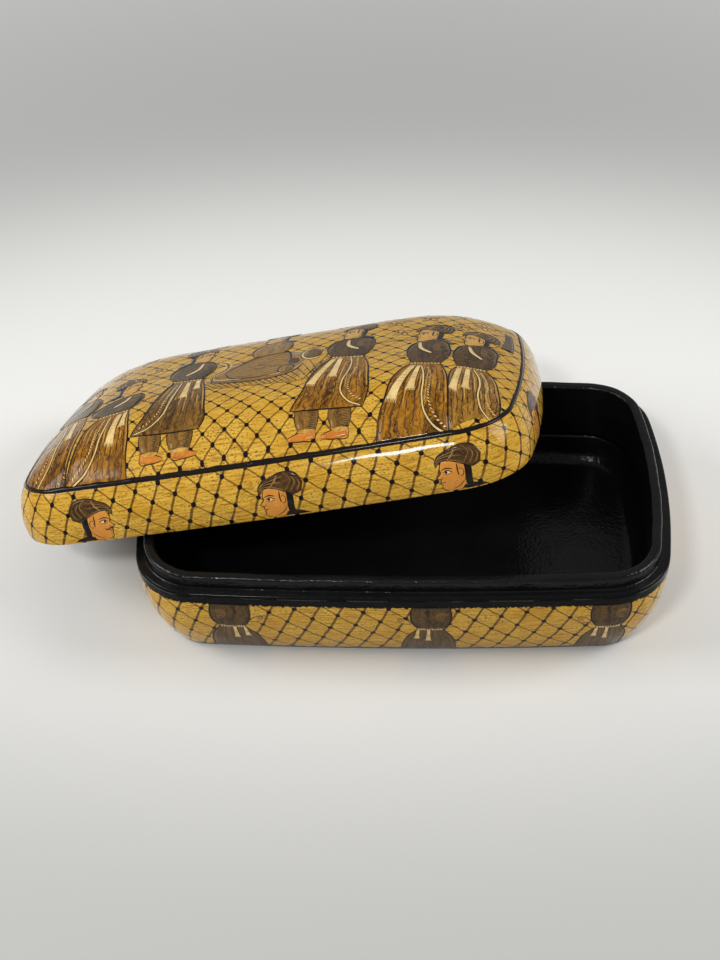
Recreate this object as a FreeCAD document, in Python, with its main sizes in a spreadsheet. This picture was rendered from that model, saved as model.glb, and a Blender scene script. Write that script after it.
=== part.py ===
import FreeCAD, Part
import math
import os
import Sketcher

# Oblong papier mache box with a loose lid. Millimetres, +Z up, length along X.
# The origin is the middle of the base's underside, and the front is at -Y.
# The lid is off its seat and set down askew: its rear left corner is on the table,
# and its rim leans on the collar of the base at the left end and at the back.

PLAN = {
    "box_length": 200,         # over the bowed ends
    "box_width": 125,          # over the bowed long sides
    "side_bow_radius": 1400,   # long sides, seen from above
    "end_bow_radius": 280,     # short ends, seen from above
    "corner_radius": 25,
}
BASE = {
    "belly_height": 32,        # below this the wall draws in to the foot
    "rim_height": 4,           # upright wall from there to the ledge that carries the lid
    "foot_inset": 10,          # how far the wall draws in at the underside
    "foot_wall": 4,            # wall at the level of the floor, seen from above
    "ledge_width": 3.5,        # wall beside the collar, where the lid sits
    "ledge_bevel": 0.6,
    "floor_thickness": 4,
    "floor_edge_radius": 3,    # inner edge between floor and wall
}
COLLAR = {
    "collar_thickness": 4,
    "collar_rise": 5,          # above the ledge
    "collar_depth": 20,        # below the ledge, glued into the wall
    "lip_bevel": 0.8,
    "glue_line": 0.05,
}
LID = {
    "band_height": 21.2,       # rim to the crease round the top
    "band_belly": 0.25,        # bulge half way up the band
    "crease_inset": 3.5,       # crease inside the rim, seen from above
    "dome_rise": 16.6,         # crease to the crown
    "roof_thickness": 4,
    "lid_clearance": 0.3,      # between the lid's wall and the collar when shut
}
REST = {
    "lid_shift_x": -44.71,     # middle of the lid's rim from the box's middle
    "lid_shift_y": 20.68,
    "lid_turn": -4.8,          # degrees about Z
    "lid_tip_run": 137.45,     # front edge up: the run that drops by the collar's height
    "lid_lean_run": 190.6,     # right end up, likewise
    "rest_clearance": 0.1,
}
SAME_LEVEL = 1e-4              # edges this close in height lie at one level
DOME_POWER = 4.5               # a flat crown that falls away near the crease
BELLY_SHARES = (1, 0.5, 0)
BAND_SHARES = (0, 0.5, 1)
DOME_SHARES = (0.92, 0.78, 0.55, 0.25)
HOLLOW_DOME_SHARES = (0.82, 0.55)
RIM_STEPS = 720                # points along each arc of the rim, to seat the lid

os.makedirs("parts", exist_ok=True)
doc = FreeCAD.newDocument("PapierMacheBox")
sheet = doc.addObject("Spreadsheet::Sheet", "Sizes")
row = 0
for group in (PLAN, BASE, COLLAR, LID, REST):
    for name, size in group.items():
        row += 1
        sheet.set(f"A{row}", name)
        sheet.set(f"B{row}", str(size))
        sheet.setAlias(f"B{row}", name)
doc.recompute()


known = {}


def value(expression):
    # a spare cell of the sheet works each expression out once
    if expression not in known:
        sheet.set("D1", "=" + expression.replace("Sizes.", ""))
        sheet.recompute()
        known[expression] = float(sheet.get("D1"))
    return known[expression]


# The plan is eight tangent arcs: two bowed ends, two bowed sides and four corners.
# Every smaller outline keeps the same centres, so it is an even inset of the first.
SEAT = "(Sizes.belly_height + Sizes.rim_height)"
SIDE_CENTRE = "(Sizes.side_bow_radius - Sizes.box_width / 2)"
END_CENTRE = "(Sizes.end_bow_radius - Sizes.box_length / 2)"


def cornerCentre():
    sideCentre = value(SIDE_CENTRE)
    endCentre = value(END_CENTRE)
    sideReach = value("Sizes.side_bow_radius - Sizes.corner_radius")
    endReach = value("Sizes.end_bow_radius - Sizes.corner_radius")
    apart = math.hypot(sideCentre, endCentre)
    along = (sideReach ** 2 - endReach ** 2 + apart ** 2) / (2 * apart)
    aside = math.sqrt(sideReach ** 2 - along ** 2)
    x = (aside * sideCentre - along * endCentre) / apart
    y = (aside * endCentre + along * sideCentre) / apart - sideCentre
    return x, y


CORNER_X, CORNER_Y = cornerCentre()
END_SWEEP = math.atan2(CORNER_Y, CORNER_X + value(END_CENTRE))
SIDE_SWEEP = math.atan2(CORNER_X, CORNER_Y + value(SIDE_CENTRE))


def insetAt(x, y):
    # how far a point lies inside the plan outline, below zero outside it
    x = abs(x)
    y = abs(y)
    angle = math.atan2(y - CORNER_Y, x - CORNER_X)
    if END_SWEEP < angle < math.pi / 2 - SIDE_SWEEP:
        return value("Sizes.corner_radius") - math.hypot(x - CORNER_X, y - CORNER_Y)
    fromEnd = value("Sizes.end_bow_radius") - math.hypot(x + value(END_CENTRE), y)
    fromSide = value("Sizes.side_bow_radius") - math.hypot(x, y + value(SIDE_CENTRE))
    return min(fromEnd, fromSide)


def planArcs():
    # each arc: centre x, centre y, name of its radius, first angle, last angle
    turn = math.pi / 2
    endCentre = value(END_CENTRE)
    sideCentre = value(SIDE_CENTRE)
    return [
        (-endCentre, 0, "end_bow_radius", -END_SWEEP, END_SWEEP),
        (CORNER_X, CORNER_Y, "corner_radius", END_SWEEP, turn - SIDE_SWEEP),
        (0, -sideCentre, "side_bow_radius", turn - SIDE_SWEEP, turn + SIDE_SWEEP),
        (-CORNER_X, CORNER_Y, "corner_radius", turn + SIDE_SWEEP, 2 * turn - END_SWEEP),
        (endCentre, 0, "end_bow_radius", 2 * turn - END_SWEEP, 2 * turn + END_SWEEP),
        (-CORNER_X, -CORNER_Y, "corner_radius", 2 * turn + END_SWEEP, 3 * turn - SIDE_SWEEP),
        (0, sideCentre, "side_bow_radius", 3 * turn - SIDE_SWEEP, 3 * turn + SIDE_SWEEP),
        (CORNER_X, -CORNER_Y, "corner_radius", 3 * turn + SIDE_SWEEP, 4 * turn - END_SWEEP),
    ]


def planSketch(body, name, height, inset="0", share=1):
    # the plan outline, inset evenly, then scaled by a share, at a height
    sketch = body.newObject("Sketcher::SketchObject", name)
    ground = [item for item in body.Origin.OriginFeatures if item.Role == "XY_Plane"][0]
    sketch.AttachmentSupport = (ground, "")
    sketch.MapMode = "FlatFace"
    sketch.setExpression("AttachmentOffset.Base.z", height)
    arcs = planArcs()
    insetSize = value(inset)
    up = FreeCAD.Vector(0, 0, 1)
    for x, y, radius, first, last in arcs:
        centre = FreeCAD.Vector(x * share, y * share, 0)
        size = (value(f"Sizes.{radius}") - insetSize) * share
        sketch.addGeometry(Part.ArcOfCircle(Part.Circle(centre, up, size), first, last))
    for index in range(len(arcs)):
        following = (index + 1) % len(arcs)
        sketch.addConstraint(Sketcher.Constraint("Tangent", index, 2, following, 1))
    for index, arc in enumerate(arcs):
        size = sketch.Geometry[index].Radius
        added = sketch.addConstraint(Sketcher.Constraint("Radius", index, size))
        sketch.setExpression(f"Constraints[{added}]", f"(Sizes.{arc[2]} - {inset}) * {share}")
    origin = (-1, 1)
    placed = [
        ("DistanceX", (0, 3), origin, END_CENTRE, -1),
        ("DistanceX", origin, (4, 3), END_CENTRE, -1),
        ("DistanceY", (2, 3), origin, SIDE_CENTRE, -2),
        ("DistanceY", origin, (6, 3), SIDE_CENTRE, -2),
    ]
    for kind, start, end, centre, axis in placed:
        arc = max(start[0], end[0])
        sketch.addConstraint(Sketcher.Constraint("PointOnObject", arc, 3, axis))
        size = value(centre) * share
        added = sketch.addConstraint(Sketcher.Constraint(kind, *start, *end, size))
        sketch.setExpression(f"Constraints[{added}]", f"{centre} * {share}")
    doc.recompute()
    return sketch


def loft(body, kind, name, sketches, ruled=False):
    feature = body.newObject(kind, name)
    feature.Ruled = ruled
    feature.Profile = sketches[0]
    feature.Sections = sketches[1:]
    doc.recompute()
    return feature


def prism(body, kind, name, sketch, length):
    feature = body.newObject(kind, name)
    feature.Profile = sketch
    feature.setExpression("Length", length)
    doc.recompute()
    return feature


def easeEdges(body, kind, name, height, size, within="Sizes.box_width"):
    # rounds or bevels the edges at one height that lie within a distance of the outline
    base = body.Tip
    level = value(height)
    chosen = []
    for index, edge in enumerate(base.Shape.Edges):
        box = edge.BoundBox
        flat = abs(box.ZMin - level) < SAME_LEVEL and abs(box.ZMax - level) < SAME_LEVEL
        middle = edge.valueAt((edge.FirstParameter + edge.LastParameter) / 2)
        if flat and insetAt(middle.x, middle.y) < value(within):
            chosen.append(f"Edge{index + 1}")
    feature = body.newObject(f"PartDesign::{kind}", name)
    feature.Base = (base, chosen)
    feature.setExpression("Radius" if kind == "Fillet" else "Size", size)
    doc.recompute()
    return feature


def newBody(name):
    body = doc.addObject("PartDesign::Body", name)
    body.Label = name
    return body


# Base: the wall is upright below the ledge and draws in to a smaller foot.
base = newBody("base_shell")
wallSections = []
for index, share in enumerate(BELLY_SHARES):
    height = f"Sizes.belly_height * (1 - {share})"
    inset = f"Sizes.foot_inset * {share ** 2}"
    wallSections.append(planSketch(base, f"wall_section_{index}", height, inset))
loft(base, "PartDesign::AdditiveLoft", "wall", wallSections, True)
prism(base, "PartDesign::Pad", "rim", wallSections[-1], "Sizes.rim_height")

# Hollow: a rebate takes the collar, and the cavity below is flush with its inside.
COLLAR_INSIDE = "(Sizes.ledge_width + Sizes.collar_thickness)"
rebate = planSketch(base, "rebate_outline", SEAT, "Sizes.ledge_width")
prism(base, "PartDesign::Pocket", "rebate", rebate, "Sizes.collar_depth")
cavityTop = planSketch(base, "cavity_outline", SEAT, COLLAR_INSIDE)
prism(base, "PartDesign::Pocket", "cavity", cavityTop, "Sizes.collar_depth")
collarFoot = f"({SEAT} - Sizes.collar_depth)"
floorShare = "(1 - Sizes.floor_thickness / Sizes.belly_height)"
wallAtFloor = f"(Sizes.foot_inset * {floorShare} ^ 2 + Sizes.foot_wall)"
cavitySections = []
for index, share in enumerate(reversed(BELLY_SHARES)):
    height = f"{collarFoot} - ({collarFoot} - Sizes.floor_thickness) * {share}"
    inset = f"({COLLAR_INSIDE} + ({wallAtFloor} - {COLLAR_INSIDE}) * {share ** 2})"
    cavitySections.append(planSketch(base, f"cavity_section_{index}", height, inset))
loft(base, "PartDesign::SubtractiveLoft", "cavity_bowl", cavitySections, True)
easeEdges(base, "Fillet", "floor_edge", "Sizes.floor_thickness", "Sizes.floor_edge_radius")
halfLedge = "Sizes.ledge_width / 2"
easeEdges(base, "Chamfer", "ledge_edge", SEAT, "Sizes.ledge_bevel", halfLedge)

# Collar: a strip bent round the inside of the wall, standing up past the ledge.
collar = newBody("inner_collar")
collarTop = f"({SEAT} + Sizes.collar_rise)"
collarOutside = "(Sizes.ledge_width + Sizes.glue_line)"
outer = planSketch(collar, "collar_outside", collarFoot, collarOutside)
prism(collar, "PartDesign::Pad", "strip", outer, "Sizes.collar_depth + Sizes.collar_rise")
inner = planSketch(collar, "collar_inside", collarTop, COLLAR_INSIDE)
prism(collar, "PartDesign::Pocket", "bore", inner, "Sizes.collar_depth + Sizes.collar_rise")
easeEdges(collar, "Chamfer", "lip", collarTop, "Sizes.lip_bevel")

# Lid: a slightly swollen band carries on the base's side up to the crease, and a
# flat-crowned dome closes it. The cavity follows both at the lid's own thickness.
lid = newBody("lid_shell")
LID_WALL = "(Sizes.ledge_width - Sizes.lid_clearance)"
bandInset = {0: "0", 0.5: "(-Sizes.band_belly)", 1: "Sizes.crease_inset"}


def lidSections(name, wall, rise, domeShares):
    band = []
    for index, share in enumerate(BAND_SHARES):
        inset = f"({bandInset[share]} + {wall})"
        height = f"Sizes.band_height * {share}"
        band.append(planSketch(lid, f"{name}_band_{index}", height, inset))
    dome = [band[-1]]
    for index, share in enumerate(domeShares):
        inset = f"({bandInset[1]} + {wall})"
        height = f"Sizes.band_height + {rise} * {1 - share ** DOME_POWER}"
        dome.append(planSketch(lid, f"{name}_dome_{index}", height, inset, share))
    return band, dome


band, dome = lidSections("outside", "0", "Sizes.dome_rise", DOME_SHARES)
loft(lid, "PartDesign::AdditiveLoft", "band", band, True)
loft(lid, "PartDesign::AdditiveLoft", "dome", dome)
flatShare = 1 - HOLLOW_DOME_SHARES[-1] ** DOME_POWER
hollowRise = f"((Sizes.dome_rise - Sizes.roof_thickness) / {flatShare})"
band, dome = lidSections("inside", LID_WALL, hollowRise, HOLLOW_DOME_SHARES)
loft(lid, "PartDesign::SubtractiveLoft", "band_hollow", band, True)
loft(lid, "PartDesign::SubtractiveLoft", "dome_hollow", dome, True)

# The lid is lowered until its rim meets the collar, the ledge or the table.
turn = FreeCAD.Rotation(FreeCAD.Vector(0, 0, 1), value("Sizes.lid_turn"))
tipAngle = math.atan(value(f"{collarTop} / Sizes.lid_tip_run"))
leanAngle = math.atan(value(f"{collarTop} / Sizes.lid_lean_run"))
tip = FreeCAD.Rotation(FreeCAD.Vector(-1, 0, 0), math.degrees(tipAngle))
lean = FreeCAD.Rotation(FreeCAD.Vector(0, -1, 0), math.degrees(leanAngle))
pose = turn.multiply(tip).multiply(lean)
shift = FreeCAD.Vector(value("Sizes.lid_shift_x"), value("Sizes.lid_shift_y"), 0)


SURFACES = (
    (0, 0),
    (value("Sizes.ledge_width"), value(SEAT)),
    (value(COLLAR_INSIDE), value(collarTop)),
    (math.inf, value("Sizes.floor_thickness")),
)


def surfaceBelow(x, y):
    inset = insetAt(x, y)
    for reach, height in SURFACES:
        if inset < reach:
            return height


def restHeight():
    height = 0
    for inset in (0, value(LID_WALL)):
        for x, y, radius, first, last in planArcs():
            size = value(f"Sizes.{radius}") - inset
            for step in range(RIM_STEPS):
                angle = first + (last - first) * step / RIM_STEPS
                point = FreeCAD.Vector(x + size * math.cos(angle), y + size * math.sin(angle), 0)
                placed = pose.multVec(point) + shift
                height = max(height, surfaceBelow(placed.x, placed.y) - placed.z)
    return height + value("Sizes.rest_clearance")


lid.Placement = FreeCAD.Placement(shift + FreeCAD.Vector(0, 0, restHeight()), pose)
doc.recompute()

for item in doc.Objects:
    if "Invalid" in item.State or "Error" in item.State:
        raise RuntimeError(f"{item.Name} was not built")
for part in (base, collar, lid):
    if part.Shape.isNull() or not part.Shape.isValid() or len(part.Shape.Solids) != 1:
        raise RuntimeError(f"{part.Label} is not one sound solid")
for part in (base, collar, lid):
    part.Shape.exportStep(f"parts/{part.Label}.step")
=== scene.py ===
import math

import bpy
import numpy as np
from mathutils import Matrix, Vector


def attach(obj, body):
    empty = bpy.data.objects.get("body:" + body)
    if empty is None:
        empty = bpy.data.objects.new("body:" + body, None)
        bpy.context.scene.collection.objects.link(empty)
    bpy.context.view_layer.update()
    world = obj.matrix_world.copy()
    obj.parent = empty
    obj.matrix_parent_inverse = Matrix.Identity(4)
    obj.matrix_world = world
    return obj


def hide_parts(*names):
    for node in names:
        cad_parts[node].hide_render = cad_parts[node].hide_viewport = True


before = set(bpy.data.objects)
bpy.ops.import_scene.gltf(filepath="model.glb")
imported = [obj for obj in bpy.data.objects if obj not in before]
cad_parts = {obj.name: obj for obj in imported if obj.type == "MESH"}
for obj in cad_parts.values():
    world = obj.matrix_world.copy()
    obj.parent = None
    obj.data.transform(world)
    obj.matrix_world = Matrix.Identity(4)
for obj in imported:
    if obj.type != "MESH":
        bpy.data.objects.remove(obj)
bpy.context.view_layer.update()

# Lengths are in millimetres up to toMetres(), which is where they meet Blender.
# s runs round the side from the middle of the front, to the right; h is a height.
plan = {
    "length": 200,
    "width": 125,
    "sideBow": 1400,
    "endBow": 280,
    "corner": 25,
}
base = {
    "bellyHeight": 32,       # the wall is upright above this
    "seatHeight": 36,        # the ledge that carries the lid
    "footInset": 10,
    "underInset": 11,        # the flat of the underside
    "ledgeRound": 1.1,
    "collarInset": 3.5,
    "innerInset": 7.5,
    "collarFoot": 16,
    "floorHeight": 4,
    "floorInset": 15,
    "bowlPower": 2.7,        # wall into floor; 2 would be an ellipse
    "upright": (32.7, 35.1),             # the wall's rings from the belly to the ledge
    "ledgeIn": (1.4, 2.2, 2.9, 3.3),     # insets on the ledge's way in to the collar
    "ledgeUp": (0, 0, 0.05, 0.2, 0.45),  # and how it rises there
    "gapSteps": (32, 26),                # heights behind the collar, on the way down
}
collar = {
    "inset": 3.55,
    "width": 3.95,
    "top": 41,
    "foot": 16.05,
    "lipRound": 1.25,
    "free": (30, 8),         # it sways from this height on, in full this much above it
}
lid = {
    "bandHeight": 19.6,
    "bulge": 0.25,
    "creaseInset": 3.5,
    "rise": 18.2,
    "domePower": 4.9,
    "soften": 0.25,          # how far the crease is worn down
    "wornBand": 1.2,         # how soon that fades, down the band and over the top
    "wornTop": 1.4,
    "rimRound": 0.7,
    "wall": 3.2,
    "roof": 4,
    "innerCrease": 7,
    "innerPower": 2.2,       # how late the inner wall leans in
    "shift": (-44.71, 20.68, 34.063),
    "turn": -4.8,            # degrees about Z, then X, then Y
    "tip": -16.61,
    "lean": -12.14,
}
uneven = {                   # how far the hand-made surfaces stray, in slow and in quick waves
    "side": (0.10, 0.06),
    "top": (0.14, 0.05),
    "collar": (0.08, 0.056),
    "lip": 0.12,             # up and down, on the collar
}


def toMetres(points):
    return np.asarray(points, dtype=float) / 1000


# The plan: eight tangent arcs, each a centre, a radius and a stretch of angles.
def planArcs():
    quarter = math.pi / 2
    side, end, corner = plan["sideBow"], plan["endBow"], plan["corner"]
    sideMid = side - plan["width"] / 2
    endMid = end - plan["length"] / 2
    apart = math.hypot(sideMid, endMid)
    along = ((side - corner) ** 2 - (end - corner) ** 2 + apart ** 2) / (2 * apart)
    aside = math.sqrt((side - corner) ** 2 - along ** 2)
    x = (aside * sideMid - along * endMid) / apart
    y = (aside * endMid + along * sideMid) / apart - sideMid
    endSweep = math.atan2(y, x + endMid)
    sideSweep = math.atan2(x, y + sideMid)
    return np.array([
        (0, sideMid, side, 3 * quarter, 3 * quarter + sideSweep),
        (x, -y, corner, 3 * quarter + sideSweep, 4 * quarter - endSweep),
        (-endMid, 0, end, -endSweep, endSweep),
        (x, y, corner, endSweep, quarter - sideSweep),
        (0, -sideMid, side, quarter - sideSweep, quarter + sideSweep),
        (-x, y, corner, quarter + sideSweep, 2 * quarter - endSweep),
        (endMid, 0, end, 2 * quarter - endSweep, 2 * quarter + endSweep),
        (-x, -y, corner, 2 * quarter + endSweep, 3 * quarter - sideSweep),
        (0, sideMid, side, 3 * quarter - sideSweep, 3 * quarter),
    ])


arcs = planArcs()
arcEnds = np.concatenate([[0], np.cumsum(arcs[:, 2] * (arcs[:, 4] - arcs[:, 3]))])
girth = arcEnds[-1]
creaseEdge = lid["creaseInset"] + lid["soften"]


# A place on the plan: the arc's centre plus (radius - inset) along its normal.
def planAt(s, inset):
    s = np.mod(s, girth)
    which = np.clip(np.searchsorted(arcEnds, s, side="right") - 1, 0, len(arcs) - 1)
    angle = arcs[which, 3] + (s - arcEnds[which]) / arcs[which, 2]
    reach = arcs[which, 2] - inset
    return arcs[which, 0] + reach * np.cos(angle), arcs[which, 1] + reach * np.sin(angle)


# Slow hand-made unevenness: a product of sines and a quicker one, whole waves round the girth.
def unevenSide(s, h):
    slow, quick = uneven["side"]
    turn = 2 * math.pi * s / girth
    ripple = quick * np.sin(23 * turn + 0.3 * h)
    return slow * np.sin(9 * turn + 1.3) * np.sin(0.16 * h + 0.4) + ripple


def unevenTop(x, y):
    slow, quick = uneven["top"]
    ripple = quick * np.sin(0.21 * x + 0.17 * y)
    return slow * np.sin(0.071 * x + 0.9) * np.sin(0.093 * y + 0.3) + ripple


# Inset of the lid's band: the parabola through the rim, the bulge and the worn crease.
def bandInset(s, h):
    share = h / lid["bandHeight"]
    curve = 2 * (lid["creaseInset"] + 2 * lid["bulge"])
    inset = curve * share ** 2 - (curve - lid["creaseInset"]) * share
    worn = lid["soften"] * np.exp((h - lid["bandHeight"]) / lid["wornBand"])
    return inset + worn + unevenSide(s, h) * np.sin(math.pi * np.clip(share, 0, 1))


# Height of the lid's top: rise * (1 - share ** power), share of the way to the crease.
def domeHeight(x, y, share):
    away = (1 - share) * 60      # about how far it is to the crease
    worn = lid["soften"] * np.exp(-away / lid["wornTop"])
    height = lid["bandHeight"] + lid["rise"] * (1 - share ** lid["domePower"]) - worn
    return height + unevenTop(x, y) * (1 - share ** 8)


# Inset of the base's wall: none above the belly, and below it foot * (1 - share) ** 2.
def baseInset(s, z):
    drawn = base["footInset"] * (1 - np.minimum(z, base["bellyHeight"]) / base["bellyHeight"]) ** 2
    fade = 6                     # the wall is even at the foot and at the ledge
    even = np.clip(z / fade, 0, 1) * np.clip((base["seatHeight"] - z) / fade, 0, 1)
    return drawn + unevenSide(s, z) * even


# Rz(turn) Rx(tip) Ry(lean): from the lid's own frame to the way it lies.
def lidFrame():
    turn, tip, lean = (math.radians(lid[key]) for key in ("turn", "tip", "lean"))
    aboutZ = [[math.cos(turn), -math.sin(turn), 0], [math.sin(turn), math.cos(turn), 0], [0, 0, 1]]
    aboutX = [[1, 0, 0], [0, math.cos(tip), -math.sin(tip)], [0, math.sin(tip), math.cos(tip)]]
    aboutY = [[math.cos(lean), 0, math.sin(lean)], [0, 1, 0], [-math.sin(lean), 0, math.cos(lean)]]
    return np.array(aboutZ) @ np.array(aboutX) @ np.array(aboutY)


lidTurn = lidFrame()


def lidToRow(points):
    return points @ lidTurn.T + np.array(lid["shift"])


def asItStands(points):          # the base is drawn where it stands
    return points


class Signal:                # a shader value; operators on it add Math nodes
    def __init__(self, tree, socket):
        self.tree = tree
        self.socket = socket

    def maths(self, operation, *others):
        return self.tree.node("Math", {"operation": operation}, dict(enumerate([self, *others])))

    def __add__(self, other):
        return self.maths("ADD", other)

    def __sub__(self, other):
        return self.maths("SUBTRACT", other)

    def __mul__(self, other):
        return self.maths("MULTIPLY", other)

    def __truediv__(self, other):
        return self.maths("DIVIDE", other)

    def __rsub__(self, other):
        return self * -1 + other

    __radd__ = __add__
    __rmul__ = __mul__

    def clamp(self):
        return self.tree.node("Clamp", {}, {0: self})


class Paint:                 # a material and the nodes in it
    def __init__(self, name):
        self.material = bpy.data.materials.new(name)
        self.material.use_nodes = True
        self.nodes = self.material.node_tree.nodes
        self.links = self.material.node_tree.links
        self.shader = self.nodes["Principled BSDF"]

    def node(self, kind, settings, values, output=0):
        made = self.nodes.new("ShaderNode" + kind)
        for key, value in settings.items():
            setattr(made, key, value)
        for key, value in values.items():
            if isinstance(value, Signal):
                self.links.new(value.socket, made.inputs[key])
            else:
                made.inputs[key].default_value = value
        return Signal(self, made.outputs[output])

    def finish(self, fixed, varied):
        for key, value in fixed.items():
            self.shader.inputs[key].default_value = value
        for key, value in varied.items():
            self.links.new(value.socket, self.shader.inputs[key])
        return self.material

    def map(self, name):             # a UV map, in millimetres
        return self.node("UVMap", {"uv_map": name}, {})

    def place(self):                 # millimetres in the frame of the base or of the lid
        return self.node("Attribute", {"attribute_name": "place"}, {}, 1)

    def blend(self, factor, first, second):
        values = {0: factor, 6: first, 7: second}
        return self.node("Mix", {"data_type": "RGBA"}, values, 2)

    def noise(self, vector, scale, detail=2, rough=0.5):
        values = {"Vector": vector, "Scale": scale, "Detail": detail, "Roughness": rough}
        return self.node("TexNoise", {}, values)

    def stretch(self, vector, scale):
        return self.node("VectorMath", {"operation": "MULTIPLY"}, {0: vector, 1: scale})

    def bump(self, height, strength, distance):
        values = {"Strength": strength, "Distance": distance, "Height": height}
        return self.node("Bump", {}, values)

    def parts(self, vector):
        split = self.nodes.new("ShaderNodeSeparateXYZ")
        self.links.new(vector.socket, split.inputs[0])
        return [Signal(self, socket) for socket in split.outputs]


def band(value, half, soft=0.12):        # 1 within half of zero, fading over soft
    return ((half - value.maths("ABSOLUTE")) * (1 / soft) + 0.5).clamp()


def offNearest(value):                   # how far a value is from the nearest whole number
    return (value + 0.5).maths("FRACT") - 0.5


look = {
    "ground": (0.55, 0.290, 0.022, 1),
    "groundPale": (0.69, 0.42, 0.058, 1),
    "groundDeep": (0.27, 0.112, 0.009, 1),
    "fleck": (0.11, 0.040, 0.006, 1),
    "line": (0.075, 0.029, 0.006, 1),
    "dot": (0.004, 0.003, 0.003, 1),
    "black": (0.003, 0.003, 0.003, 1),
    "lacquerDeep": (0.0025, 0.0025, 0.0025, 1),
    "lacquerPale": (0.007, 0.007, 0.007, 1),
    "wobble": 0.45,          # how far the drawn lines stray
    "coat": 0.34,            # how much the varnish mirrors, and how much more at a glance
    "glance": 0.45,
    "coatRough": 0.09,
    "paintGloss": 0.03,      # specular level of the paint under the varnish, and of the lacquer
    "lacquerGloss": 0.21,
    "blackFrom": 31.4,       # the base is black above this height, and below the next
    "blackTo": 1.9,
}

# Trellis round a side: whole numbers of lines fit the girth; the rest fixes slant and place.
# The steps turn the way to the nearest lines into millimetres, for the dots on the crossings.
lidTrellis = {"across": 72, "acrossSlant": -0.0573, "acrossStart": 0.37,
              "along": 51, "alongSlant": 0.1206, "alongStart": -0.22,
              "stepA": (6.1, -4.4), "stepB": (2.9, 6.2)}
baseTrellis = {"across": 71, "acrossSlant": -0.0512, "acrossStart": 0.05,
               "along": 51, "alongSlant": 0.1007, "alongStart": -0.80,
               "stepA": (6.1, -5.2), "stepB": (3.1, 7.3)}
topTrellis = {"spacingA": 8.7, "startA": 3.8, "spacingB": 7.95, "startB": 6.7}
trellisLines = {"gaps": (6.6, 6.0), "halves": (0.40, 0.23), "topHalf": 0.28}


def sideTrellis(s, h, rule):
    across = s * (rule["across"] / girth) + h * rule["acrossSlant"] + rule["acrossStart"]
    along = s * (rule["along"] / girth) + h * rule["alongSlant"] + rule["alongStart"]
    near = offNearest(across), offNearest(along)
    lines = [band(off * gap, half) for off, gap, half in
             zip(near, trellisLines["gaps"], trellisLines["halves"])]
    steps = [near[0] * a + near[1] * b for a, b in zip(rule["stepA"], rule["stepB"])]
    return *lines, (steps[0] * steps[0] + steps[1] * steps[1]).maths("SQRT")


def topTrellisLines(x, y, rule):
    first = (x + y - rule["startA"]) / rule["spacingA"]
    second = (x - y - rule["startB"]) / rule["spacingB"]
    steps = [offNearest(count) * (rule[spacing] / 1.414)      # the spacing is along x or y
             for count, spacing in ((first, "spacingA"), (second, "spacingB"))]
    lines = [band(step, trellisLines["topHalf"]) for step in steps]
    return *lines, (steps[0] * steps[0] + steps[1] * steps[1]).maths("SQRT")


# Golden paper ground: pale and deep drifts, fine level grain and short brown specks.
def groundColour(paint, grain):
    drift = paint.noise(paint.stretch(grain, (0.05, 0.12, 0.12)), 1.0, 3)
    fine = paint.noise(paint.stretch(grain, (0.13, 1.5, 1.5)), 1.0, 5, 0.7)
    specks = paint.noise(paint.stretch(grain, (1.0, 1.9, 1.9)), 1.0, 3, 0.6)
    colour = paint.blend((drift * 2.6 - 0.8).clamp(), look["ground"], look["groundPale"])
    colour = paint.blend(((fine - 0.48) * 6).clamp() * 0.90, colour, look["groundDeep"])
    colour = paint.blend(((0.44 - fine) * 8).clamp() * 0.5, colour, look["groundPale"])
    flecks = ((specks - 0.57 + (drift - 0.5) * 0.25) * 12).clamp() * 0.85
    return paint.blend(flecks, colour, look["fleck"])


# Varnish: the coat's weight is even until the surface turns far from the eye, then grows.
def varnish(paint):
    away = paint.node("LayerWeight", {}, {"Blend": 0.5}, 1)
    return ((away - 0.62) * 4).clamp() * look["glance"] + look["coat"]


def underVarnish(paint, varied):
    fixed = {"Coat Roughness": look["coatRough"], "Specular IOR Level": look["paintGloss"]}
    return paint.finish(fixed, varied)


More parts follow.
